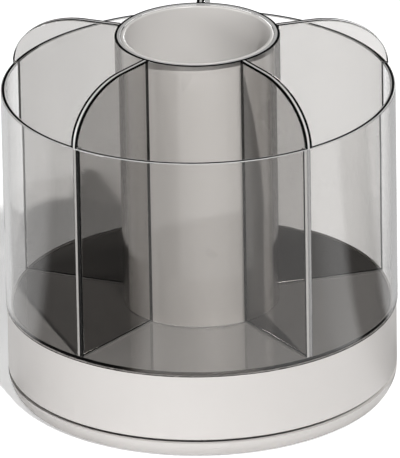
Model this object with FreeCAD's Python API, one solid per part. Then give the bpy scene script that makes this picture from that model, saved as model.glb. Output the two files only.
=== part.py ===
import FreeCAD, Part
import math
import os

# Rotating desk organizer. Millimetres, +Z up, origin on the turning axis at the
# level on which the pads stand. The front of the organizer faces -Y.

# ---- driving dimensions ---------------------------------------------------
# Clear bin
wall_outer_r = 70.0          # outside of the clear wall
wall_thickness = 1.8
wall_height = 81.8           # wall, from the band's top to the rim
arch_rise = 19.7             # how far the dividers and the hub stand above the rim
arch_run = 27.0              # how far in from the rim the arch levels out
floor_thickness = 1.5
bond_gap = 0.1               # glue line between clear pieces
rim_round = 0.5
rounded_share = 0.4          # most of a wall's thickness that one rounding takes

# Dividers
divider_count = 5
first_divider_deg = -38.8    # from the front, positive towards +X
divider_thickness = 3.0
divider_round = 0.5
tab_length = 6.0
tab_inset = 3.0              # from the hub tube to the inner tab
slot_gap = 0.1               # around a tab in its slot

# Hub tube and the cup in it
hub_outer_r = 29.3
hub_thickness = 2.0
cup_gap = 0.25               # between the hub tube and the cup
cup_wall = 1.3
cup_floor = 1.6

# Band and the disc bonded into it
band_inset = 0.4             # how far the band stays inside the clear wall
band_height = 24.7
band_wall = 2.2
band_round = 0.6
disc_thickness = 2.0
disc_skirt_wall = 2.0
disc_skirt_depth = 6.0
disc_boss_wall = 3.5

# Deck cover on the disc
cover_height = 10.2          # from the disc to the deck
cover_thickness = 1.5
cover_gap = 0.25             # between the cover's edge and the band
cover_boss_r = 3.0
cover_boss_gap = 0.3
screw_count = 5
screw_shank_r = 1.3
screw_length = 3.0
screw_head_r = 4.2
screw_head_height = 1.4
screw_socket_r = 1.2
screw_socket_depth = 0.8
screw_fit = 0.05

# Foot
pad_stand = 0.8              # how far the pads stand out of the foot
foot_height = 5.2
foot_edge_inset = 1.9        # how far the rounded edge comes in at the bottom
foot_belly = 0.25            # share of that inset left at half the foot's height
foot_wall = 1.5              # thin, so that the gap over it looks dark
foot_web = 2.4
running_gap = 1.2            # the dark line between foot and band
pad_count = 5
pad_r = 7.0
pad_depth = 0.7              # how deep a pad sits in its pocket
pad_inset = 14.6             # from the foot's outside to the pads
pad_gap = 0.1

# Ball bearing
ball_r = 2.381
ball_count = 16
ball_circle_r = 40.0
ball_clearance = 0.15        # between a ball and its grooves
groove_depth = 0.6
groove_clearance = 0.25      # groove radius over ball radius
race_width = 12.0
race_thickness = 1.4
race_seat_height = 3.6       # of the foot's seat ring over its web
race_seat_overhang = 1.0
cage_width = 9.0
cage_thickness = 1.8
pocket_clearance = 0.2

# Pivot
spindle_r = 4.0
spindle_fit = 0.05           # running clearance in the bush
spindle_head_r = 8.0
spindle_head_height = 1.2
bush_wall = 2.0
bush_flange_r = 8.5
bush_flange_height = 1.0
foot_boss_wall = 5.0
axial_play = 0.2
washer_r = 8.0
washer_thickness = 1.0
retainer_shank_r = 1.9
retainer_length = 9.0
retainer_head_r = 3.6
retainer_head_height = 2.0
retainer_socket_r = 1.8
retainer_socket_depth = 1.2
retainer_fit = 0.05
well_gap = 1.0               # around the washer in the foot's underside

# ---- levels and radii worked out from them ---------------------------------
foot_bottom = pad_stand
foot_top = foot_bottom + foot_height
band_bottom = foot_top + running_gap
band_top = band_bottom + band_height
floor_top = band_top + floor_thickness
rim_top = band_top + wall_height
hub_top = rim_top + arch_rise

deck_top = band_top - bond_gap
deck_bottom = deck_top - cover_thickness
disc_top = deck_top - cover_height
disc_bottom = disc_top - disc_thickness

foot_web_top = foot_bottom + foot_web
lower_race_bottom = foot_web_top + race_seat_height
lower_race_top = lower_race_bottom + race_thickness
ball_z = lower_race_top - groove_depth + ball_clearance + ball_r
upper_race_bottom = ball_z + ball_r + ball_clearance - groove_depth
upper_race_top = upper_race_bottom + race_thickness
race_inner_r = ball_circle_r - race_width / 2
race_outer_r = ball_circle_r + race_width / 2

washer_bottom = foot_bottom + retainer_head_height + axial_play
washer_top = washer_bottom + washer_thickness
well_top = washer_top + axial_play
bush_outer_r = spindle_r + spindle_fit + bush_wall
foot_boss_r = bush_outer_r + foot_boss_wall
foot_boss_top = lower_race_top
bush_top = foot_boss_top + bush_flange_height
disc_boss_r = spindle_r + disc_boss_wall
disc_boss_bottom = bush_top + axial_play

wall_inner_r = wall_outer_r - wall_thickness
hub_inner_r = hub_outer_r - hub_thickness
cup_outer_r = hub_inner_r - cup_gap
band_outer_r = wall_outer_r - band_inset
band_inner_r = band_outer_r - band_wall
disc_r = band_inner_r - bond_gap
cover_outer_r = band_inner_r - cover_gap
cover_inner_r = cover_outer_r - cover_thickness
disc_skirt_inner_r = disc_r - disc_skirt_wall
screw_circle_r = (race_outer_r + disc_skirt_inner_r) / 2
pad_circle_r = band_outer_r - pad_inset

AXIS = FreeCAD.Vector(0, 0, 1)
ORIGIN = FreeCAD.Vector(0, 0, 0)
NEAR = 1e-4                  # how closely a found edge has to match


# ---- helpers ----------------------------------------------------------------
def cylinder(radius, low, high, x=0.0, y=0.0):
    """A solid upright cylinder between two levels."""
    return Part.makeCylinder(radius, high - low, FreeCAD.Vector(x, y, low), AXIS)


def ring(outer, inner, low, high):
    """An upright ring between two levels."""
    return cylinder(outer, low, high).cut(cylinder(inner, low, high))


def around(count, radius, start_deg=0.0):
    """Points spaced evenly on a circle, counted from the front."""
    for index in range(count):
        angle = math.radians(start_deg + index * 360.0 / count)
        yield radius * math.sin(angle), -radius * math.cos(angle)


def turned(shape, angle_deg):
    """A copy turned about the axis, positive from the front towards +X."""
    copy = shape.copy()
    copy.rotate(ORIGIN, AXIS, angle_deg)
    return copy


def circles_at(shape, radius, level):
    """The circular edges of one radius at one level."""
    return [edge for edge in shape.Edges
            if isinstance(edge.Curve, Part.Circle)
            and abs(edge.Curve.Radius - radius) < NEAR
            and abs(edge.Curve.Center.z - level) < NEAR]


def softened(shape, wish, thickness, edges):
    """Rounds edges of a wall by what is wished for, or by less where the wall is thin."""
    return shape.makeFillet(min(wish, thickness * rounded_share), edges)


def save(name, shape):
    """Write one sub-part, or one group of like solids."""
    shape.exportStep("parts/" + name + ".step")


# ---- foot -------------------------------------------------------------------
def foot_plate():
    """The round foot: rounded outer edge, race seat, pivot boss and pad pockets."""
    edge_bottom_r = band_outer_r - foot_edge_inset
    low_corner = FreeCAD.Vector(edge_bottom_r, 0, foot_bottom)
    high_corner = FreeCAD.Vector(band_outer_r, 0, foot_top)
    belly = FreeCAD.Vector(band_outer_r - foot_edge_inset * foot_belly, 0, (foot_bottom + foot_top) / 2)
    edge = Part.Arc(low_corner, belly, high_corner).toShape()
    inner_r = band_outer_r - foot_wall
    outline = [high_corner,
               FreeCAD.Vector(inner_r, 0, foot_top),
               FreeCAD.Vector(inner_r, 0, foot_web_top),
               FreeCAD.Vector(0, 0, foot_web_top),
               FreeCAD.Vector(0, 0, foot_bottom),
               low_corner]
    section = Part.Face(Part.Wire([edge, *Part.makePolygon(outline).Edges]))
    plate = section.revolve(ORIGIN, AXIS, 360)
    plate = plate.fuse(ring(race_outer_r + race_seat_overhang, race_inner_r - race_seat_overhang,
                            foot_web_top, lower_race_bottom))
    plate = plate.fuse(cylinder(foot_boss_r, foot_web_top, foot_boss_top))
    plate = plate.cut(cylinder(bush_outer_r, foot_bottom, foot_boss_top))
    plate = plate.cut(cylinder(washer_r + well_gap, foot_bottom, well_top))
    for x, y in around(pad_count, pad_circle_r):
        plate = plate.cut(cylinder(pad_r + pad_gap, foot_bottom, foot_bottom + pad_depth, x, y))
    return plate.removeSplitter()


def rubber_pads():
    """Flat round pads in pockets under the foot."""
    return Part.makeCompound([cylinder(pad_r, 0.0, foot_bottom + pad_depth, x, y)
                              for x, y in around(pad_count, pad_circle_r)])


def pivot_bush():
    """Flanged bush in the foot's boss."""
    bore = spindle_r + spindle_fit
    sleeve = ring(bush_outer_r, bore, well_top, foot_boss_top)
    flange = ring(bush_flange_r, bore, foot_boss_top, bush_top)
    return sleeve.fuse(flange).removeSplitter()


# ---- bearing ----------------------------------------------------------------
def race(low, groove_z):
    """A flat ring with a ball groove on the side that faces the balls."""
    blank = ring(race_outer_r, race_inner_r, low, low + race_thickness)
    centre = FreeCAD.Vector(0, 0, groove_z)
    groove = Part.makeTorus(ball_circle_r, ball_r + groove_clearance, centre, AXIS)
    return blank.cut(groove)


def lower_race():
    """The groove's floor lies one clearance under the balls."""
    return race(lower_race_bottom, ball_z - ball_clearance + groove_clearance)


def upper_race():
    """The groove's ceiling lies one clearance over the balls."""
    return race(upper_race_bottom, ball_z + ball_clearance - groove_clearance)


def bearing_balls():
    """Steel balls on their circle."""
    return Part.makeCompound([Part.makeSphere(ball_r, FreeCAD.Vector(x, y, ball_z))
                              for x, y in around(ball_count, ball_circle_r)])


def ball_cage():
    """Flat ring with one round pocket for each ball."""
    low = ball_z - cage_thickness / 2
    high = ball_z + cage_thickness / 2
    cage = ring(ball_circle_r + cage_width / 2, ball_circle_r - cage_width / 2, low, high)
    for x, y in around(ball_count, ball_circle_r):
        cage = cage.cut(cylinder(ball_r + pocket_clearance, low, high, x, y))
    return cage


# ---- turntable --------------------------------------------------------------
def band():
    """The plain band that carries the clear wall."""
    blank = ring(band_outer_r, band_inner_r, band_bottom, band_top)
    return blank.makeFillet(band_round, circles_at(blank, band_outer_r, band_top)
                            + circles_at(blank, band_outer_r, band_bottom))


def turntable_disc():
    """Skirted disc bonded into the band: pivot boss, seat of the upper race, screw holes."""
    disc = cylinder(disc_r, disc_bottom, disc_top)
    disc = disc.fuse(ring(disc_r, disc_skirt_inner_r, disc_bottom - disc_skirt_depth, disc_bottom))
    disc = disc.fuse(ring(race_outer_r, race_inner_r, upper_race_top, disc_bottom))
    disc = disc.fuse(cylinder(disc_boss_r, disc_boss_bottom, disc_bottom))
    disc = disc.cut(cylinder(spindle_r, disc_boss_bottom, disc_top))
    for x, y in around(screw_count, screw_circle_r):
        disc = disc.cut(cylinder(cover_boss_r + cover_boss_gap, disc_bottom, disc_top, x, y))
    return disc.removeSplitter()


def deck_cover():
    """Dark polished cover that stands on the disc and closes the band, with screw bosses below."""
    cover = cylinder(cover_outer_r, disc_top, deck_top)
    cover = cover.cut(cylinder(cover_inner_r, disc_top, deck_bottom))
    for x, y in around(screw_count, screw_circle_r):
        cover = cover.fuse(cylinder(cover_boss_r, disc_bottom, deck_bottom, x, y))
    for x, y in around(screw_count, screw_circle_r):
        pilot_top = disc_bottom + screw_length
        cover = cover.cut(cylinder(screw_shank_r + screw_fit, disc_bottom, pilot_top, x, y))
    return cover.removeSplitter()


def cover_screws():
    """Flat-headed screws that clamp the disc against the cover from below."""
    screws = []
    for x, y in around(screw_count, screw_circle_r):
        head_low = disc_bottom - screw_head_height
        head = cylinder(screw_head_r, head_low, disc_bottom, x, y)
        socket = cylinder(screw_socket_r, head_low, head_low + screw_socket_depth, x, y)
        shank = cylinder(screw_shank_r, disc_bottom, disc_bottom + screw_length - screw_fit, x, y)
        screws.append(head.fuse(shank).cut(socket).removeSplitter())
    return Part.makeCompound(screws)


def spindle():
    """Steel pin with a flat head on the disc, tapped at its lower end."""
    pin = cylinder(spindle_r, washer_top, disc_top)
    head = cylinder(spindle_head_r, disc_top, disc_top + spindle_head_height)
    tapped = cylinder(retainer_shank_r + retainer_fit, washer_top, washer_top + retainer_length)
    return pin.fuse(head).cut(tapped).removeSplitter()


def retaining_washer():
    """Washer under the spindle, wider than the bush."""
    return ring(washer_r, retainer_shank_r + retainer_fit, washer_bottom, washer_top)


def retaining_screw():
    """Screw with a hexagon socket that holds the washer to the spindle."""
    head_low = washer_bottom - retainer_head_height
    head = cylinder(retainer_head_r, head_low, washer_bottom)
    shank = cylinder(retainer_shank_r, washer_bottom, washer_top + retainer_length - retainer_fit)
    corners = [FreeCAD.Vector(x, y, head_low) for x, y in around(6, retainer_socket_r)]
    hexagon = Part.Face(Part.makePolygon(corners + corners[:1]))
    socket = hexagon.extrude(AXIS * retainer_socket_depth)
    return head.fuse(shank).cut(socket).removeSplitter()


# ---- clear bin --------------------------------------------------------------
def outer_wall():
    """Clear wall standing on the band, with a rounded rim."""
    wall = ring(wall_outer_r, wall_inner_r, band_top, rim_top)
    return softened(wall, rim_round, wall_thickness,
                    circles_at(wall, wall_outer_r, rim_top) + circles_at(wall, wall_inner_r, rim_top))


def hub_tube():
    """Clear tube that stands on the deck and passes through the floor."""
    tube = ring(hub_outer_r, hub_inner_r, deck_top, hub_top)
    return softened(tube, rim_round, hub_thickness,
                    circles_at(tube, hub_outer_r, hub_top) + circles_at(tube, hub_inner_r, hub_top))


def centre_cup():
    """Opaque cup inside the hub tube, standing on the deck."""
    cup_inner_r = cup_outer_r - cup_wall
    cup = cylinder(cup_outer_r, deck_top, hub_top).cut(cylinder(cup_inner_r, deck_top + cup_floor, hub_top))
    return softened(cup, rim_round, cup_wall,
                    circles_at(cup, cup_outer_r, hub_top) + circles_at(cup, cup_inner_r, hub_top))


def tab_spans():
    """Inner and outer ends of the two tabs under a divider."""
    inner_start = hub_outer_r + tab_inset
    outer_end = wall_inner_r - bond_gap
    return [(inner_start, inner_start + tab_length), (outer_end - tab_length, outer_end)]


def upright_box(inner, outer, thickness, low, high):
    """A box in the front radial plane, from one radius to another."""
    corner = FreeCAD.Vector(-thickness / 2, -outer, low)
    return Part.makeBox(thickness, outer - inner, high - low, corner)


def divider():
    """Plate in the front radial plane: hooked over the rim, arched, with two tabs."""
    inner = hub_outer_r + bond_gap
    outer = wall_inner_r - bond_gap
    hook_low = rim_top + bond_gap
    crown_r = wall_outer_r - arch_run
    plane_x = -divider_thickness / 2

    def point(radius, level):
        return FreeCAD.Vector(plane_x, -radius, level)

    rise = hub_top - hook_low
    centre = point(crown_r, hook_low)
    if arch_run >= rise:
        curve = Part.Ellipse(point(wall_outer_r, hook_low), point(crown_r, hub_top), centre)
    else:
        curve = Part.Ellipse(point(crown_r, hub_top), point(wall_outer_r, hook_low), centre)
    foot_end = curve.parameter(point(wall_outer_r, hook_low))
    crown_end = curve.parameter(point(crown_r, hub_top))
    quarter = math.pi / 2
    start = foot_end if abs(crown_end - foot_end - quarter) < NEAR else crown_end
    arch = Part.ArcOfEllipse(curve, start, start + quarter).toShape()
    outline = [point(crown_r, hub_top), point(inner, hub_top), point(inner, floor_top),
               point(outer, floor_top), point(outer, hook_low), point(wall_outer_r, hook_low)]
    wire = Part.Wire(Part.__sortEdges__([arch, *Part.makePolygon(outline).Edges]))
    plate = Part.Face(wire).extrude(FreeCAD.Vector(divider_thickness, 0, 0))
    top_edges = [edge for edge in plate.Edges
                 if edge.BoundBox.ZMax > hub_top - NEAR
                 and edge.BoundBox.XLength < NEAR
                 and edge.BoundBox.YLength > divider_thickness]
    plate = softened(plate, divider_round, divider_thickness, top_edges)
    for start_r, end_r in tab_spans():
        plate = plate.fuse(upright_box(start_r, end_r, divider_thickness, band_top, floor_top))
    return plate.removeSplitter()


def floor_plate():
    """Clear floor inside the wall, with a hole for the hub and slots for the tabs."""
    plate = ring(wall_inner_r - bond_gap, hub_outer_r + bond_gap, band_top, floor_top)
    width = divider_thickness + 2 * slot_gap
    for angle in divider_angles():
        for start_r, end_r in tab_spans():
            slot = upright_box(start_r - slot_gap, end_r + slot_gap, width, band_top, floor_top)
            plate = plate.cut(turned(slot, angle))
    return plate


def divider_angles():
    """The dividers' directions from the front, in degrees."""
    return [first_divider_deg + index * 360.0 / divider_count for index in range(divider_count)]


# ---- all sub-parts ------------------------------------------------------------
def main():
    os.makedirs("parts", exist_ok=True)
    for make in (foot_plate, rubber_pads, lower_race, pivot_bush,
                 ball_cage, bearing_balls,
                 upper_race, turntable_disc, band, spindle, retaining_washer, retaining_screw,
                 deck_cover, cover_screws,
                 floor_plate, outer_wall, hub_tube, centre_cup):
        save(make.__name__, make())
    plate = divider()
    for number, angle in enumerate(divider_angles(), start=1):
        save("divider_" + str(number), turned(plate, angle))


main()
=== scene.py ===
import math

import bmesh
import bpy
from mathutils import Matrix, Vector


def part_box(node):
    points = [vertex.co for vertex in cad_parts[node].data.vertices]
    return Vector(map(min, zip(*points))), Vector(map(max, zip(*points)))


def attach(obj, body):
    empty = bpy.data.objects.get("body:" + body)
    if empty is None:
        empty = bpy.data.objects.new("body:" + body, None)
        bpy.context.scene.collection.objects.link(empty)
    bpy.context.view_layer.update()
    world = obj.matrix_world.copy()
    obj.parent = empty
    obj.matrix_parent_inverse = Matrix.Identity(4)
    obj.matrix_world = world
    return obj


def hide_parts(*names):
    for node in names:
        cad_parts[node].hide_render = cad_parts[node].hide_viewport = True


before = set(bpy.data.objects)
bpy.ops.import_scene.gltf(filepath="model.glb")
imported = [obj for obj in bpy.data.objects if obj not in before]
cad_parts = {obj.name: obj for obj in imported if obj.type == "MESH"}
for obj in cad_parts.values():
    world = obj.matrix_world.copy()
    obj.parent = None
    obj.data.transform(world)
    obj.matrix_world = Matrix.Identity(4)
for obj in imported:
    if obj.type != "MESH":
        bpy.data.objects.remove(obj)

bl_info = {
    "name": "Rotating desk organizer",
    "version": (1, 0, 0),
    "blender": (4, 5, 0),
    "location": "3D View > Sidebar > Organizer",
    "description": "Finishes and stage of a clear grey desk organizer on an off-white turntable",
    "category": "Object",
}

MM = 0.001


# ---- sizes read from the frame ----------------------------------------------------
def reach(node):
    """Smallest and largest distance of a node's points from the turning axis."""
    radii = [math.hypot(v.co.x, v.co.y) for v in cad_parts[node].data.vertices]
    return min(radii), max(radii)


def levels(node):
    """Lowest and highest level of a node."""
    low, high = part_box(node)
    return low.z, high.z


def heading(node):
    """A node's direction from the front, in radians, positive towards +X."""
    low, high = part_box(node)
    middle = (low + high) / 2
    return math.atan2(middle.x, -middle.y)


WALL_INNER, WALL_OUTER = reach("outer_wall")
WALL_LOW, RIM = levels("outer_wall")
HUB_INNER, HUB_OUTER = reach("hub_tube")
HUB_LOW, HUB_TOP = levels("hub_tube")
CUP_OUTER = reach("centre_cup")[1]
CUP_LOW = levels("centre_cup")[0]
FLOOR_INNER, FLOOR_OUTER = reach("floor_plate")
FLOOR_LOW, FLOOR_TOP = levels("floor_plate")
DIVIDERS = sorted(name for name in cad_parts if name.startswith("divider_"))

# ---- meshes: angles, steps and the faces' material numbers ------------------------
SHARP = math.radians(32.0)    # an edge that bends more is sharp
SLIGHT = math.radians(2.0)    # an edge that bends less is smooth between any two faces
MUCH_LARGER = 4               # a long face has at least this many times its neighbour's area
CORNER = math.radians(60.0)   # a divider's edges that bend more are rounded
ARC_STEPS, ARCH_STEPS, BEVEL_STEPS = 4, 32, 3
FACES_UP = 0.2                # the normals of a rim's faces point up by more than this
TINY = 1e-6                   # shorter lengths count as none
SIDE_SKIN = 0.05 * MM         # a divider's sides are this near its half thickness
# Material numbers: clear, then painted shade, painted light, painted shade that mirrors, and
# painted light on rims
CLEAR, DARK, LIT, POLISHED, SOFT = range(5)

# ---- finishes ---------------------------------------------------------------------
# Clear grey plastic: tint of the surface, how fast light is lost inside, and the shares of
# the lamps' light and of the light from other surfaces that each face lets through
CLEAR_WALL = {"tint": (0.935, 0.93, 0.925), "density": 0.0, "lamplight": 0.95, "bounced": 0.95}
CLEAR_HUB = {"tint": (1.0, 0.995, 0.99), "density": 40.0, "lamplight": 0.95, "bounced": 0.92}
CLEAR_FLOOR = {"tint": (1.0, 0.995, 0.99), "density": 70.0, "lamplight": 0.93, "bounced": 0.65}
CLEAR_DIVIDER = {"tint": (1.0, 0.995, 0.99), "density": 280.0, "lamplight": 0.63, "bounced": 0.92}
CLEAR_INDEX = 1.5
WAVE_SCALE, WAVE_STRENGTH, WAVE_HEIGHT, WAVE_DETAIL = 60.0, 0.05, 0.4 * MM, 1.0

# The part of a noise's range that is spread over a drifting value, and the noises' detail
NOISE_LOW, NOISE_HIGH = 0.3, 0.7
DRIFT_DETAIL, GRAIN_DETAIL = 2.0, 3.0

# Moulded plastic: a slow drift of tone and gloss under a fine eroded grain
MOULDED_INDEX = 1.5
TONE_SCALE, TONE_LOW, TONE_HIGH = 24.0, 0.985, 1.015
GLOSS_SCALE = 40.0
GRAIN_SCALE, GRAIN_STRENGTH, GRAIN_HEIGHT = 900.0, 0.12, 0.04 * MM
RUBBER_GRAIN, EDGE_GRAIN, POLISHED_GRAIN = 0.4, 0.05, 0.01
# Lowest and highest roughness
BAND_ROUGH, CUP_ROUGH, DECK_ROUGH = (0.34, 0.42), (0.27, 0.29), (0.03, 0.05)
NYLON_ROUGH, RUBBER_ROUGH = (0.4, 0.5), (0.7, 0.85)
DARK_ROUGH, LIT_ROUGH, POLISHED_ROUGH, SOFT_ROUGH = (0.5, 0.6), (0.3, 0.4), (0.04, 0.06), (0.4, 0.5)

# The higher its index, the more a dark surface mirrors its surroundings
DARK_EDGE_INDEX, POLISHED_EDGE_INDEX, DECK_INDEX = 1.04, 5.8, 2.2
# Share of the lamps' light that goes through the edges of clear pieces
EDGE_LAMPLIGHT = 0.9

# Steel: fine scuffs and uneven gloss, between two shares of its roughness
SCUFF_SCALE, SCUFF_STRENGTH, SCUFF_HEIGHT = 900.0, 0.08, 0.02 * MM
STEEL_GLOSS_SCALE, STEEL_SMOOTHER, STEEL_ROUGHER = 300.0, 0.8, 1.3
STEEL_ROUGH, BALL_ROUGH = 0.28, 0.08

# ---- stage ------------------------------------------------------------------------
# Width of the floor and end of the camera's view, in metres
STAGE_WIDTH, VIEW_END = 24.0, 60.0
# A ray with more reflections than this shows a mirror image
MIRROR_LIMIT = 0.5
BOUNCES = {"max_bounces": 40, "transmission_bounces": 40, "transparent_max_bounces": 40,
           "glossy_bounces": 12, "diffuse_bounces": 5}
# Name, heading and height in degrees, spread in degrees and power
SUNS = (
    ("sun", 20.3, 42.5, 1.6, 3.3),
    ("left_sun", -55.0, 35.0, 3.0, 0.25),
)
# Name, place, width and height in metres, and power; all aim at the middle of the object
LAMPS = (
    ("left_box", (-1.5, -0.6, 0.34), 0.8, 0.45, 10.5),
    ("rear_box", (0.6, 1.6, 0.3), 0.9, 0.5, 13.0),
)
LAMP_AIM = (0.0, 0.0, 0.06)
# The floor's tone, plain and seen through clear plastic, and its own glow: straight to the camera,
# and through clear plastic painted light that grows brighter from the left end to the start of the
# right side
PAPER, THROUGH_PAPER = 0.8, 0.95
CAMERA_GLOW = 0.42
THROUGH_LEFT, THROUGH_RIGHT = 0.2, 0.4
LEFT_END, RIGHT_START = -80 * MM, 60 * MM
# The room's brightness, and (heading in degrees, brightness) of floor and room in mirror images
SKY = 0.015
MIRRORED_FLOOR = ((-180, 0.65), (-92, 0.65), (-84, 0.03), (-32, 0.03), (-24, 0.65), (60, 0.65),
                  (68, 0.95), (78, 0.95), (84, 0.03), (104, 0.03), (110, 0.5))
MIRRORED_SKY = ((-180, 0.02), (-107, 0.02), (-103, 0.1), (103, 0.1), (107, 0.02), (180, 0.02))


# ---- settings ---------------------------------------------------------------------
def length(name, description, value):
    """A length property in metres."""
    return bpy.props.FloatProperty(name=name, description=description, default=value,
                                   unit="LENGTH", precision=5)


def angle(name, description, degrees):
    """An angle property."""
    return bpy.props.FloatProperty(name=name, description=description,
                                   default=math.radians(degrees), unit="ROTATION")


def colour(name, description, value):
    """A colour property."""
    return bpy.props.FloatVectorProperty(name=name, description=description, default=value,
                                         size=3, min=0.0, max=1.0, subtype="COLOR")


def number(name, description, value):
    """A plain number property."""
    return bpy.props.FloatProperty(name=name, description=description, default=value)


class OrganizerSizes(bpy.types.PropertyGroup):
    """Sizes of the finished pieces that the frame's boxes don't give."""
    segments: bpy.props.IntProperty(name="Segments", description="Facets around a turned piece",
                                    default=256, min=32)
    rim_round: length("Rim rounding", "Radius on the cup's rim", 0.5 * MM)
    hub_round: length("Hub rounding", "Radius on the clear tube's rim", 0.25 * MM)
    cup_wall: length("Cup wall", "Wall of the middle cup", 1.3 * MM)
    cup_floor: length("Cup floor", "Floor of the middle cup", 1.6 * MM)
    cup_fillet: length("Cup fillet", "Fillet inside the bottom of the cup", 3.0 * MM)
    # The dark ring on a clear rim is painted shade, and the rim's faces around it are painted pale
    # light
    rim_ring_start: length("Rim ring start", "From the wall's outside to the dark ring", 0.4 * MM)
    rim_ring_width: length("Rim ring width", "Width of the dark ring on a clear rim", 0.9 * MM)
    divider_thickness: length("Divider thickness", "Thickness of a divider", 3.0 * MM)
    divider_round: length("Divider rounding", "Rounding along a divider's edges", 0.35 * MM)
    # The pale lines along a divider's arch and outer end are painted highlights, and the faces
    # beside them painted shade
    arch_line: length("Arch line", "Half the width of the pale line along an arch", 0.4 * MM)
    end_line: length("End line", "Where the pale line along an outer end stops", -0.2 * MM)
    arch_run: length("Arch run", "How far in from the rim the arch levels out", 27.0 * MM)
    bond_gap: length("Bond gap", "Glue line between clear pieces", 0.1 * MM)


class OrganizerColours(bpy.types.PropertyGroup):
    """Colours of the finishes."""
    band: colour("Band", "Off-white moulded plastic", (0.605, 0.582, 0.564))
    cup: colour("Cup", "Warm grey middle cup", (0.62, 0.60, 0.58))
    smoke: colour("Smoke", "What thick clear grey plastic lets through", (0.50, 0.485, 0.47))
    # The next three colours are painted shade and painted light: near black for the shade that
    # light trapped in clear cut edges gives, pale for the light that clear edges and rims gather
    edge: colour("Edge", "Cut edge, dark with trapped light", (0.004, 0.004, 0.004))
    painted_light_on_edges: colour("Lit edge", "Cut edge that gives back trapped light", (0.54, 0.53, 0.52))
    rim_painted_light: colour("Rim edge", "Softly polished rim", (0.44, 0.435, 0.43))
    deck: colour("Deck", "Polished dark cover", (0.48, 0.47, 0.461))
    steel: colour("Steel", "Plated steel of the bearing and the screws", (0.62, 0.62, 0.60))
    balls: colour("Balls", "Polished steel balls", (0.78, 0.78, 0.78))
    nylon: colour("Nylon", "Ball cage and bush", (0.78, 0.77, 0.72))
    rubber: colour("Rubber", "Pads under the foot", (0.03, 0.03, 0.03))


class OrganizerStage(bpy.types.PropertyGroup):
    """Place, direction and lens of the camera."""
    distance: length("Distance", "From the camera to the aim point", 4.0)
    elevation: angle("Elevation", "Camera above the horizon", 23.8)
    roll: angle("Roll", "Camera turned about its own axis", -0.99)
    aim_x: length("Aim X", "Aim point", -0.19 * MM)
    aim_z: length("Aim Z", "Aim point", 58.1 * MM)
    focal: number("Focal length", "In millimetres, for the long side of the frame", 882.3)


# ---- making meshes ----------------------------------------------------------------
def arc(centre, radius, start_deg, end_deg):
    """Points on a circular arc in the profile plane."""
    points = []
    for step in range(ARC_STEPS + 1):
        turn = math.radians(start_deg + (end_deg - start_deg) * step / ARC_STEPS)
        points.append((centre[0] + radius * math.cos(turn), centre[1] + radius * math.sin(turn)))
    return points


def shade(mesh):
    """Smooth faces, with sharp edges at corners and where a rounding meets a long face."""
    work = bmesh.new()
    work.from_mesh(mesh)
    for face in work.faces:
        face.smooth = True
    for edge in work.edges:
        areas = sorted(face.calc_area() for face in edge.link_faces)
        bend = edge.calc_face_angle(0.0)
        alike = bend < SLIGHT or areas[-1] < areas[0] * MUCH_LARGER
        edge.smooth = bend < SHARP and alike
    work.to_mesh(mesh)
    work.free()


def piece(name, mesh):
    """A new object at the origin that carries the mesh."""
    thing = bpy.data.objects.new(name, mesh)
    bpy.context.scene.collection.objects.link(thing)
    return thing


def lathe(name, profile):
    """A closed profile of (radius, level) points turned about the axis."""
    count = bpy.context.scene.organizer_sizes.segments
    turns = [2 * math.pi * index / count for index in range(count)]
    work = bmesh.new()
    rings = []
    for radius, level in profile:
        if radius < TINY:
            rings.append([work.verts.new((0.0, 0.0, level))] * count)
            continue
        rings.append([work.verts.new((radius * math.cos(turn), radius * math.sin(turn), level))
                      for turn in turns])
    for row, ring in enumerate(rings):
        following = rings[(row + 1) % len(rings)]
        for index in range(count):
            after = (index + 1) % count
            corners = []
            for vert in (ring[index], ring[after], following[after], following[index]):
                if vert not in corners:
                    corners.append(vert)
            if len(corners) > 2:
                work.faces.new(corners)
    bmesh.ops.recalc_face_normals(work, faces=work.faces)
    mesh = bpy.data.meshes.new(name)
    work.to_mesh(mesh)
    work.free()
    shade(mesh)
    return piece(name, mesh)


def tube_profile(outer, inner, low, high, rounding, ring_radius):
    """A tube with a rounded rim, whose flat top has one more edge at the given radius."""
    return ([(inner, low), (outer, low)]
            + arc((outer - rounding, high - rounding), rounding, 0, 90)
            + [(ring_radius, high)]
            + arc((inner + rounding, high - rounding), rounding, 90, 180))


def mark_rim(thing, ring_outer):
    """Numbers the faces of a clear rim: a ring of painted shade between faces of painted pale
    light.
    """
    ring_inner = ring_outer - bpy.context.scene.organizer_sizes.rim_ring_width
    for face in thing.data.polygons:
        if face.normal.z > FACES_UP:
            dark = ring_inner < math.hypot(face.center.x, face.center.y) < ring_outer
            face.material_index = DARK if dark else SOFT


# ---- node helpers -----------------------------------------------------------------
class Nodes:
    """Builds one node tree, a node at a time."""

    def __init__(self, tree):
        self.tree = tree

    def add(self, kind, **values):
        """A node with its sockets set: a value or a link, by the socket's name or place."""
        node = self.tree.nodes.new(kind)
        sockets = values.pop("sockets", {})
        for key, value in values.items():
            setattr(node, key, value)
        for key, value in sockets.items():
            socket = node.inputs[key]
            if isinstance(value, bpy.types.NodeSocket):
                self.tree.links.new(value, socket)
            else:
                socket.default_value = value
        return node

    def noise(self, scale, detail):
        """Noise on the object's own coordinates."""
        place = self.add("ShaderNodeTexCoord").outputs["Object"]
        sockets = {"Vector": place, "Scale": scale, "Detail": detail}
        return self.add("ShaderNodeTexNoise", sockets=sockets).outputs["Fac"]

    def calculate(self, operation, *values):
        """The result of a Math node."""
        sockets = dict(enumerate(values))
        return self.add("ShaderNodeMath", operation=operation, sockets=sockets).outputs[0]

    def blend(self, factor, low, high):
        """A number between two numbers."""
        sockets = {0: factor, 2: low, 3: high}
        return self.add("ShaderNodeMix", data_type="FLOAT", sockets=sockets).outputs[0]


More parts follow.
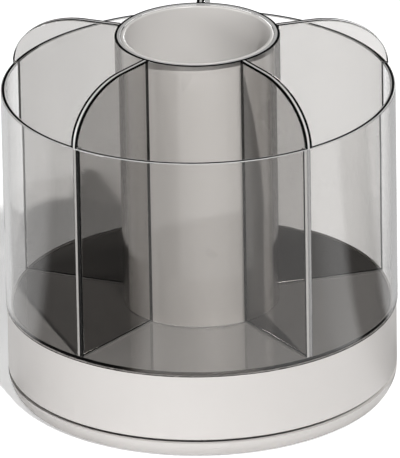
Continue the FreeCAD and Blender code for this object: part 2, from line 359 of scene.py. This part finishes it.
def new_material(name):
    """An empty node material."""
    material = bpy.data.materials.new(name)
    material.use_nodes = True
    material.node_tree.nodes.clear()
    return material, Nodes(material.node_tree)


def grain(nodes, scale, strength, height, detail=GRAIN_DETAIL):
    """A fine bump."""
    return nodes.add("ShaderNodeBump", sockets={
        "Height": nodes.noise(scale, detail), "Strength": strength, "Distance": height,
    }).outputs["Normal"]


def varied(nodes, low, high, scale):
    """A value that drifts between two limits over the surface."""
    return nodes.add("ShaderNodeMapRange", sockets={
        "Value": nodes.noise(scale, DRIFT_DETAIL), "From Min": NOISE_LOW, "From Max": NOISE_HIGH,
        "To Min": low, "To Max": high,
    }).outputs["Result"]


def let_through(nodes, shader, ray, share):
    """Swaps a shader for plain tinted transparency for one kind of ray."""
    path = nodes.add("ShaderNodeLightPath").outputs
    clear = nodes.add("ShaderNodeBsdfTransparent", sockets={"Color": (*share, 1.0)})
    sockets = {0: path[ray], 1: shader.outputs[0], 2: clear.outputs[0]}
    return nodes.add("ShaderNodeMixShader", sockets=sockets)


# ---- materials --------------------------------------------------------------------
def moulded(name, tone, rough, grain_strength=GRAIN_STRENGTH, index=MOULDED_INDEX,
            lamplight=0.0):
    """Opaque moulded plastic, its roughness between two limits."""
    material, nodes = new_material(name)
    drifting = nodes.add("ShaderNodeMix", data_type="RGBA", sockets={
        0: nodes.noise(TONE_SCALE, DRIFT_DETAIL),
        6: (*[part * TONE_LOW for part in tone], 1.0),
        7: (*[part * TONE_HIGH for part in tone], 1.0),
    })
    shader = nodes.add("ShaderNodeBsdfPrincipled", sockets={
        "Base Color": drifting.outputs[2],
        "Roughness": varied(nodes, *rough, GLOSS_SCALE),
        "Normal": grain(nodes, GRAIN_SCALE, grain_strength, GRAIN_HEIGHT),
        "IOR": index,
    })
    if lamplight:
        shader = let_through(nodes, shader, "Is Shadow Ray", [lamplight] * 3)
    nodes.add("ShaderNodeOutputMaterial", sockets={"Surface": shader.outputs[0]})
    return material


def clear_grey(name, tint, density, lamplight, bounced):
    """Clear grey plastic, polished and slightly wavy, tinted on its surface and all through."""
    material, nodes = new_material(name)
    shader = nodes.add("ShaderNodeBsdfPrincipled", sockets={
        "Base Color": (*tint, 1.0),
        "Roughness": 0.0,
        "IOR": CLEAR_INDEX,
        "Transmission Weight": 1.0,
        "Normal": grain(nodes, WAVE_SCALE, WAVE_STRENGTH, WAVE_HEIGHT, WAVE_DETAIL),
    })
    for ray, share in (("Is Shadow Ray", lamplight), ("Is Diffuse Ray", bounced)):
        shader = let_through(nodes, shader, ray, [part * share for part in tint])
    sockets = {"Surface": shader.outputs[0]}
    if density:
        smoke = bpy.context.scene.organizer_colours.smoke
        sockets["Volume"] = nodes.add("ShaderNodeVolumeAbsorption", sockets={
            "Color": (*smoke, 1.0), "Density": density}).outputs[0]
    nodes.add("ShaderNodeOutputMaterial", sockets=sockets)
    return material


def steel(name, tone, rough):
    """Plated or polished steel with fine scuffs."""
    material, nodes = new_material(name)
    shader = nodes.add("ShaderNodeBsdfPrincipled", sockets={
        "Base Color": (*tone, 1.0),
        "Metallic": 1.0,
        "Roughness": varied(nodes, rough * STEEL_SMOOTHER, rough * STEEL_ROUGHER,
                            STEEL_GLOSS_SCALE),
        "Normal": grain(nodes, SCUFF_SCALE, SCUFF_STRENGTH, SCUFF_HEIGHT),
    })
    nodes.add("ShaderNodeOutputMaterial", sockets={"Surface": shader.outputs[0]})
    return material


def painted_edge_light_and_shade():
    """Painted shade and painted light on the edges of clear pieces, in the order of DARK, LIT,
    POLISHED and SOFT.
    """
    colours = bpy.context.scene.organizer_colours
    made = bpy.data.materials
    if "painted_shade_on_edges" not in made:
        moulded("painted_shade_on_edges", colours.edge, DARK_ROUGH, EDGE_GRAIN, DARK_EDGE_INDEX,
                EDGE_LAMPLIGHT)
        moulded("painted_light_on_edges", colours.painted_light_on_edges, LIT_ROUGH, EDGE_GRAIN, lamplight=EDGE_LAMPLIGHT)
        moulded("painted_shade_mirror_edges", colours.edge, POLISHED_ROUGH, POLISHED_GRAIN,
                POLISHED_EDGE_INDEX, EDGE_LAMPLIGHT)
        moulded("painted_light_on_rims", colours.rim_painted_light, SOFT_ROUGH, EDGE_GRAIN, lamplight=EDGE_LAMPLIGHT)
    return [made["painted_shade_on_edges"], made["painted_light_on_edges"], made["painted_shade_mirror_edges"], made["painted_light_on_rims"]]


def dress(thing, *materials):
    """Gives a piece its materials, by the numbers that its faces carry."""
    slots = thing.data.materials
    while len(slots) > len(materials):
        slots.pop()
    for place, material in enumerate(materials):
        if place < len(slots):
            slots[place] = material
        else:
            slots.append(material)


# ---- pieces -----------------------------------------------------------------------
class PieceOperator(bpy.types.Operator):
    """Base of the operators that make one piece each."""
    bl_options = {"REGISTER", "UNDO"}

    def hand_over(self, thing, materials, body, slot, *nodes):
        """Dresses a finished piece and puts it on its body in place of CAD nodes."""
        dress(thing, *materials)
        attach(thing, body)
        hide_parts(*nodes)


class ORGANIZER_OT_outer_wall(PieceOperator):
    """Clear cylindrical wall with a rounded rim"""
    bl_idname = "organizer.outer_wall"
    bl_label = "Outer wall"

    def execute(self, context):
        sizes = context.scene.organizer_sizes
        ring = WALL_OUTER - sizes.rim_ring_start
        wall = lathe("clear_wall", tube_profile(WALL_OUTER, WALL_INNER, WALL_LOW, RIM,
                                                sizes.rim_ring_start, ring - sizes.rim_ring_width))
        mark_rim(wall, ring)
        materials = (clear_grey("clear_grey_wall", **CLEAR_WALL), *painted_edge_light_and_shade())
        self.hand_over(wall, materials, "rotor", "clear_grey_plastic", "outer_wall")
        return {"FINISHED"}


class ORGANIZER_OT_hub_tube(PieceOperator):
    """Clear tube around the middle cup"""
    bl_idname = "organizer.hub_tube"
    bl_label = "Hub tube"

    def execute(self, context):
        sizes = context.scene.organizer_sizes
        tube = lathe("clear_hub", tube_profile(HUB_OUTER, HUB_INNER, HUB_LOW, HUB_TOP,
                                               sizes.hub_round, HUB_OUTER - sizes.rim_ring_width))
        mark_rim(tube, HUB_OUTER)
        materials = (clear_grey("clear_grey_hub", **CLEAR_HUB), *painted_edge_light_and_shade())
        self.hand_over(tube, materials, "rotor", "clear_grey_plastic", "hub_tube")
        return {"FINISHED"}


class ORGANIZER_OT_centre_cup(PieceOperator):
    """Opaque middle cup with a filleted floor"""
    bl_idname = "organizer.centre_cup"
    bl_label = "Centre cup"

    def execute(self, context):
        sizes = context.scene.organizer_sizes
        inner = CUP_OUTER - sizes.cup_wall
        floor = CUP_LOW + sizes.cup_floor
        lip, fillet = sizes.rim_round, sizes.cup_fillet
        profile = [(0.0, CUP_LOW), (CUP_OUTER, CUP_LOW)]
        profile += arc((CUP_OUTER - lip, HUB_TOP - lip), lip, 0, 90)
        profile += arc((inner + lip, HUB_TOP - lip), lip, 90, 180)
        profile += arc((inner - fillet, floor + fillet), fillet, 0, -90)
        profile += [(0.0, floor)]
        cup = lathe("middle_cup", profile)
        plastic = moulded("warm_grey_moulded", context.scene.organizer_colours.cup, CUP_ROUGH)
        self.hand_over(cup, (plastic,), "rotor", "cup_plastic", "centre_cup")
        return {"FINISHED"}


class ORGANIZER_OT_floor_plate(PieceOperator):
    """Clear floor of the compartments"""
    bl_idname = "organizer.floor_plate"
    bl_label = "Floor plate"

    def execute(self, context):
        plate = lathe("clear_floor", [(FLOOR_INNER, FLOOR_LOW), (FLOOR_OUTER, FLOOR_LOW),
                                      (FLOOR_OUTER, FLOOR_TOP), (FLOOR_INNER, FLOOR_TOP)])
        clear = clear_grey("clear_grey_floor", **CLEAR_FLOOR)
        self.hand_over(plate, (clear,), "rotor", "clear_grey_plastic", "floor_plate")
        return {"FINISHED"}


def divider_outline(sizes):
    """Outline of a divider as (radius, level) points, counter-clockwise from the hub's foot."""
    inner = HUB_OUTER + sizes.bond_gap
    outer = WALL_INNER - sizes.bond_gap
    foot = FLOOR_TOP + sizes.bond_gap
    hook = RIM + sizes.bond_gap
    crown = WALL_OUTER - sizes.arch_run
    points = [(inner, foot), (outer, foot), (outer, hook)]
    for step in range(ARCH_STEPS + 1):
        turn = math.pi / 2 * step / ARCH_STEPS
        points.append((crown + sizes.arch_run * math.cos(turn),
                       hook + (HUB_TOP - hook) * math.sin(turn)))
    points.append((inner, HUB_TOP))
    return points


def divider_plate(sizes):
    """Mesh of a divider at the front, with rounded long edges and edges along its lines of painted
    highlight.
    """
    half = sizes.divider_thickness / 2
    work = bmesh.new()
    outline = divider_outline(sizes)
    left = [work.verts.new((-half, -radius, level)) for radius, level in outline]
    right = [work.verts.new((half, -radius, level)) for radius, level in outline]
    work.faces.new(left)
    work.faces.new(right[::-1])
    for index in range(len(outline)):
        after = (index + 1) % len(outline)
        work.faces.new((left[index], right[index], right[after], left[after]))
    bmesh.ops.recalc_face_normals(work, faces=work.faces)
    long_edges = [edge for edge in work.edges if edge.calc_face_angle(0.0) > CORNER
                  and abs(edge.verts[0].co.x - edge.verts[1].co.x) < TINY]
    bmesh.ops.bevel(work, geom=long_edges, offset=sizes.divider_round, segments=BEVEL_STEPS,
                    profile=0.5, affect="EDGES")
    for cut in (-sizes.arch_line, sizes.end_line, sizes.arch_line):
        everything = work.verts[:] + work.edges[:] + work.faces[:]
        bmesh.ops.bisect_plane(work, geom=everything, plane_co=(cut, 0, 0), plane_no=(1, 0, 0))
    for face in work.faces:
        face.material_index = edge_number(face, sizes)
    mesh = bpy.data.meshes.new("divider_plate")
    work.to_mesh(mesh)
    work.free()
    shade(mesh)
    return mesh


def edge_number(face, sizes):
    """Material number of a divider's face by its place: sides stay clear, other faces get painted
    shade, or painted highlight along the pale lines.
    """
    middle = face.calc_center_median()
    across, radius, level = middle.x, -middle.y, middle.z
    half, rounding = sizes.divider_thickness / 2, sizes.divider_round
    if abs(across) > half - SIDE_SKIN:
        return CLEAR
    if radius < HUB_OUTER + sizes.bond_gap + rounding / 2:
        return DARK
    lined = LIT if abs(across) < sizes.arch_line else DARK
    if level < FLOOR_TOP + sizes.bond_gap + rounding / 2:
        return lined
    rounded = abs(across) > half - rounding
    if level < RIM and radius > WALL_INNER - sizes.bond_gap - rounding:
        if rounded:
            return DARK
        return LIT if across < sizes.end_line else POLISHED
    return CLEAR if rounded else lined


class ORGANIZER_OT_dividers(PieceOperator):
    """Arched dividers, repeated around the hub"""
    bl_idname = "organizer.dividers"
    bl_label = "Dividers"

    def execute(self, context):
        plate = piece("divider_plate", divider_plate(context.scene.organizer_sizes))
        materials = (clear_grey("clear_grey_divider", **CLEAR_DIVIDER), *painted_edge_light_and_shade())
        dress(plate, *materials)
        ring = repeat_around("arched_dividers", plate, len(DIVIDERS), heading("divider_1"),
                             materials)
        self.hand_over(ring, materials, "rotor", "clear_grey_plastic", *DIVIDERS)
        return {"FINISHED"}


def repeat_around(name, pattern, count, start, materials):
    """Geometry Nodes: copies of a pattern object evenly around the axis, made one plain mesh."""
    tree = bpy.data.node_groups.new(name + "_tree", "GeometryNodeTree")
    tree.interface.new_socket("Geometry", in_out="OUTPUT", socket_type="NodeSocketGeometry")
    wanted = {"Count": ("NodeSocketInt", count), "Start": ("NodeSocketFloat", start)}
    ids = {}
    for label, (kind, _) in wanted.items():
        ids[label] = tree.interface.new_socket(label, in_out="INPUT", socket_type=kind).identifier
    nodes = Nodes(tree)
    given = nodes.add("NodeGroupInput").outputs
    spots = nodes.add("GeometryNodePoints", sockets={"Count": given["Count"], "Radius": MM})
    index = nodes.add("GeometryNodeInputIndex").outputs[0]
    step = nodes.calculate("DIVIDE", 2 * math.pi, given["Count"])
    turn = nodes.calculate("MULTIPLY_ADD", index, step, given["Start"])
    spin = nodes.add("ShaderNodeCombineXYZ", sockets={"Z": turn})
    source = nodes.add("GeometryNodeObjectInfo", sockets={"Object": pattern})
    copies = nodes.add("GeometryNodeInstanceOnPoints", sockets={
        "Points": spots.outputs[0], "Instance": source.outputs["Geometry"],
        "Rotation": spin.outputs[0]})
    shape = nodes.add("GeometryNodeRealizeInstances", sockets={0: copies.outputs[0]}).outputs[0]
    face_number = nodes.add("GeometryNodeInputMaterialIndex").outputs[0]
    for place, material in enumerate(materials):
        chosen = nodes.add("FunctionNodeCompare", data_type="INT", operation="EQUAL",
                           sockets={2: face_number, 3: place})
        shape = nodes.add("GeometryNodeSetMaterial", sockets={
            "Geometry": shape, "Selection": chosen.outputs[0], "Material": material}).outputs[0]
    nodes.add("NodeGroupOutput", sockets={0: shape})
    carrier = piece(name, bpy.data.meshes.new(name + "_seed"))
    modifier = carrier.modifiers.new("repeat", "NODES")
    modifier.node_group = tree
    for label, (_, value) in wanted.items():
        modifier[ids[label]] = value
    graph = bpy.context.evaluated_depsgraph_get()
    mesh = bpy.data.meshes.new_from_object(carrier.evaluated_get(graph), depsgraph=graph)
    carrier.modifiers.clear()
    carrier.data = mesh
    bpy.data.objects.remove(pattern)
    return carrier


class ORGANIZER_OT_finishes(PieceOperator):
    """Finishes of the pieces whose shape is right as it is"""
    bl_idname = "organizer.finishes"
    bl_label = "Other finishes"

    def execute(self, context):
        colours = context.scene.organizer_colours
        finishes = (
            (moulded("off_white_moulded", colours.band, BAND_ROUGH),
             ("band", "turntable_disc", "foot_plate")),
            (moulded("dark_polished", colours.deck, DECK_ROUGH, POLISHED_GRAIN, DECK_INDEX),
             ("deck_cover",)),
            (steel("plated_steel", colours.steel, STEEL_ROUGH),
             ("lower_race", "upper_race", "spindle", "retaining_washer", "retaining_screw",
              "cover_screws")),
            (steel("polished_steel", colours.balls, BALL_ROUGH),
             ("bearing_balls",)),
            (moulded("natural_nylon", colours.nylon, NYLON_ROUGH),
             ("ball_cage", "pivot_bush")),
            (moulded("pad_rubber_black", colours.rubber, RUBBER_ROUGH, RUBBER_GRAIN),
             ("rubber_pads",)),
        )
        for material, names in finishes:
            for name in names:
                dress(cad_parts[name], material)
        return {"FINISHED"}


# ---- stage ------------------------------------------------------------------------
def stage_floor():
    """The flat sheet that the object stands on."""
    half = STAGE_WIDTH / 2
    mesh = bpy.data.meshes.new("stage_floor")
    corners = [(-half, -half, 0), (half, -half, 0), (half, half, 0), (-half, half, 0)]
    mesh.from_pydata(corners, [], [(0, 1, 2, 3)])
    return piece("stage_floor", mesh)


def light(name, kind, power, towards):
    """A lamp object that shines against the given direction."""
    lamp = bpy.data.lights.new(name, kind)
    lamp.energy = power
    thing = bpy.data.objects.new(name, lamp)
    bpy.context.scene.collection.objects.link(thing)
    thing.rotation_mode = "QUATERNION"
    thing.rotation_quaternion = towards.to_track_quat("Z", "Y")
    return thing


def softbox(name, place, width, height, power):
    """A rectangular lamp aimed at the middle of the object."""
    thing = light(name, "AREA", power, Vector(place) - Vector(LAMP_AIM))
    thing.data.shape = "RECTANGLE"
    thing.data.size, thing.data.size_y = width, height
    thing.location = place
    thing.visible_camera = False


def sunlight(name, turn_deg, height_deg, spread_deg, power):
    """A lamp with parallel light from a heading and a height."""
    turn, height = math.radians(turn_deg), math.radians(height_deg)
    level = math.cos(height)
    towards = Vector((math.sin(turn) * level, -math.cos(turn) * level, math.sin(height)))
    light(name, "SUN", power, towards).data.angle = math.radians(spread_deg)


def by_heading(nodes, vector, stops):
    """A brightness that runs through (heading, brightness) stops with a vector's heading."""
    flat = nodes.add("ShaderNodeSeparateXYZ", sockets={0: vector}).outputs
    turn = nodes.calculate("ARCTAN2", flat["X"], nodes.calculate("MULTIPLY", flat["Y"], -1.0))
    share = nodes.calculate("MULTIPLY_ADD", turn, 0.5 / math.pi, 0.5)
    ramp = nodes.add("ShaderNodeValToRGB", sockets={0: share})
    elements = ramp.color_ramp.elements
    elements.remove(elements[1])
    elements[0].position = stops[0][0] / 360 + 0.5
    elements[0].color = (stops[0][1], stops[0][1], stops[0][1], 1.0)
    for degrees, bright in stops[1:]:
        elements.new(degrees / 360 + 0.5).color = (bright, bright, bright, 1.0)
    return ramp.outputs[0]


def mirror_images(nodes, path):
    """1 for a ray that was turned back on its way, and so shows the stage in a mirror image."""
    return nodes.calculate("GREATER_THAN", path["Glossy Depth"], MIRROR_LIMIT)


def paper_material():
    """White paper: brighter to the camera, with painted light growing brighter towards the right
    through clear plastic, and bright or dark in mirror images by its heading.
    """
    material, nodes = new_material("stage_paper")
    path = nodes.add("ShaderNodeLightPath").outputs
    mirrored, through = mirror_images(nodes, path), path["Is Transmission Ray"]
    place = nodes.add("ShaderNodeTexCoord").outputs["Object"]
    flat = nodes.add("ShaderNodeSeparateXYZ", sockets={0: place}).outputs
    painted_light_by_side = nodes.add("ShaderNodeMapRange", interpolation_type="SMOOTHSTEP", sockets={
        "Value": flat["X"], "From Min": LEFT_END, "From Max": RIGHT_START,
        "To Min": THROUGH_LEFT, "To Max": THROUGH_RIGHT}).outputs[0]
    glow = nodes.calculate("MULTIPLY", path["Is Camera Ray"], CAMERA_GLOW)
    glow = nodes.blend(through, glow, painted_light_by_side)
    glow = nodes.blend(mirrored, glow, by_heading(nodes, place, MIRRORED_FLOOR))
    tone = nodes.blend(mirrored, nodes.blend(through, PAPER, THROUGH_PAPER), 0.0)
    white = nodes.add("ShaderNodeBsdfDiffuse", sockets={"Color": tone})
    shine = nodes.add("ShaderNodeEmission", sockets={"Strength": glow})
    both = nodes.add("ShaderNodeAddShader", sockets={0: white.outputs[0], 1: shine.outputs[0]})
    nodes.add("ShaderNodeOutputMaterial", sockets={"Surface": both.outputs[0]})
    return material


def stage_world():
    """A dim room that is white to the camera."""
    world = bpy.data.worlds.new("stage_world")
    world.use_nodes = True
    world.node_tree.nodes.clear()
    nodes = Nodes(world.node_tree)
    path = nodes.add("ShaderNodeLightPath").outputs
    facing = nodes.add("ShaderNodeTexCoord").outputs["Generated"]
    room = nodes.blend(mirror_images(nodes, path), SKY, by_heading(nodes, facing, MIRRORED_SKY))
    strength = nodes.blend(path["Is Camera Ray"], room, 1.0)
    white = nodes.add("ShaderNodeBackground", sockets={"Color": (1, 1, 1, 1),
                                                       "Strength": strength})
    nodes.add("ShaderNodeOutputWorld", sockets={"Surface": white.outputs[0]})
    return world


def stage_camera(setup):
    """The camera, aimed at a point on the object's middle plane."""
    lens = bpy.data.cameras.new("camera")
    lens.lens = setup.focal
    lens.clip_end = VIEW_END
    camera = bpy.data.objects.new("camera", lens)
    bpy.context.scene.collection.objects.link(camera)
    back = Vector((0.0, -math.cos(setup.elevation), math.sin(setup.elevation)))
    camera.location = Vector((setup.aim_x, 0.0, setup.aim_z)) + back * setup.distance
    camera.rotation_mode = "QUATERNION"
    level = (-back).to_track_quat("-Z", "Y").to_matrix()
    camera.rotation_quaternion = (level @ Matrix.Rotation(setup.roll, 3, "Z")).to_quaternion()
    return camera


class ORGANIZER_OT_stage(bpy.types.Operator):
    """Pale floor, soft lamps and the camera"""
    bl_idname = "organizer.stage"
    bl_label = "Stage"

    def execute(self, context):
        scene = context.scene
        scene.view_settings.view_transform = "Standard"
        for name, count in BOUNCES.items():
            setattr(scene.cycles, name, count)
        floor = stage_floor()
        dress(floor, paper_material())
        for lamp in LAMPS:
            softbox(*lamp)
        for sun in SUNS:
            sunlight(*sun)
        scene.world = stage_world()
        scene.camera = stage_camera(scene.organizer_stage)
        return {"FINISHED"}


# ---- panel, registration and the run ----------------------------------------------
class ORGANIZER_PT_pieces(bpy.types.Panel):
    """Lists the pieces"""
    bl_idname = "ORGANIZER_PT_pieces"
    bl_label = "Desk organizer"
    bl_space_type = "VIEW_3D"
    bl_region_type = "UI"
    bl_category = "Organizer"

    def draw(self, context):
        for step in STEPS:
            self.layout.operator(step.bl_idname)
        for name in SETTINGS:
            group = getattr(context.scene, name)
            for key in group.bl_rna.properties.keys():
                if key not in ("rna_type", "name"):
                    self.layout.prop(group, key)


STEPS = (ORGANIZER_OT_outer_wall, ORGANIZER_OT_hub_tube, ORGANIZER_OT_centre_cup,
         ORGANIZER_OT_floor_plate, ORGANIZER_OT_dividers, ORGANIZER_OT_finishes,
         ORGANIZER_OT_stage)
SETTINGS = {"organizer_sizes": OrganizerSizes, "organizer_colours": OrganizerColours,
            "organizer_stage": OrganizerStage}


def register():
    for group in SETTINGS.values():
        bpy.utils.register_class(group)
    for name, group in SETTINGS.items():
        setattr(bpy.types.Scene, name, bpy.props.PointerProperty(type=group))
    for step in STEPS:
        bpy.utils.register_class(step)
    bpy.utils.register_class(ORGANIZER_PT_pieces)


def unregister():
    bpy.utils.unregister_class(ORGANIZER_PT_pieces)
    for step in reversed(STEPS):
        bpy.utils.unregister_class(step)
    for name in SETTINGS:
        delattr(bpy.types.Scene, name)
    for group in SETTINGS.values():
        bpy.utils.unregister_class(group)


def main():
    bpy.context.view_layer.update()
    register()
    for step in STEPS:
        group, action = step.bl_idname.split(".")
        getattr(getattr(bpy.ops, group), action)()


if __name__ == "__main__":
    main()
